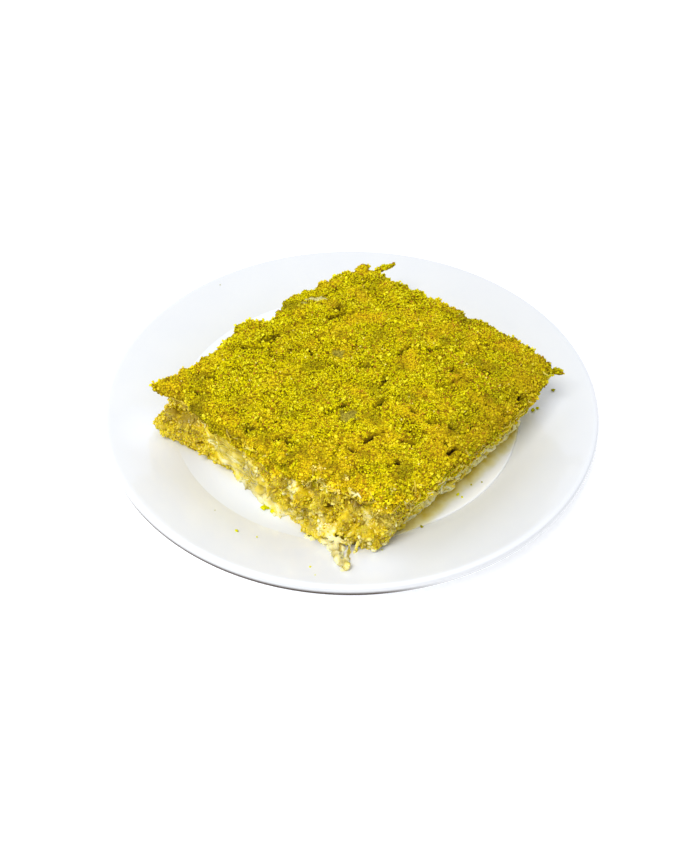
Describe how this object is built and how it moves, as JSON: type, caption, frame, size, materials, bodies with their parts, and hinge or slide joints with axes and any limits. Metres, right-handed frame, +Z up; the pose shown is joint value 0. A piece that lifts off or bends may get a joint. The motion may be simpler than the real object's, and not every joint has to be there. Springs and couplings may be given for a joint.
{
  "type": "cold kadayif dessert on a plate",
  "caption": "Square portion of milk-soaked shredded pastry under a thick layer of ground pistachio, served in a little sweet milk on a round white dessert plate.",
  "frame": {"origin": "centre of the plate's foot ring, on the surface that the plate stands on", "axes": "+Z up; -Y towards the viewer of the picture, where one corner of the slab points; +X to the viewer's right"},
  "size_m": [0.17, 0.17, 0.0367],
  "materials": {
    "white_porcelain": "white glazed porcelain with a soft shine",
    "sweet_milk": "thin milk tinted pale yellow by the pistachio, wet and shiny",
    "soaked_pastry": "wet shredded pastry, cream to yellow-green, softly shining",
    "ground_pistachio": "coarse bright yellow-green crumbs with olive gaps and orange-brown flecks, dull"
  },
  "bodies": {
    "root": {"plate": "white_porcelain", "milk_syrup": "sweet_milk", "kadayif_slab": "soaked_pastry", "pistachio_topping": "ground_pistachio"}
  },
  "joints": []
}
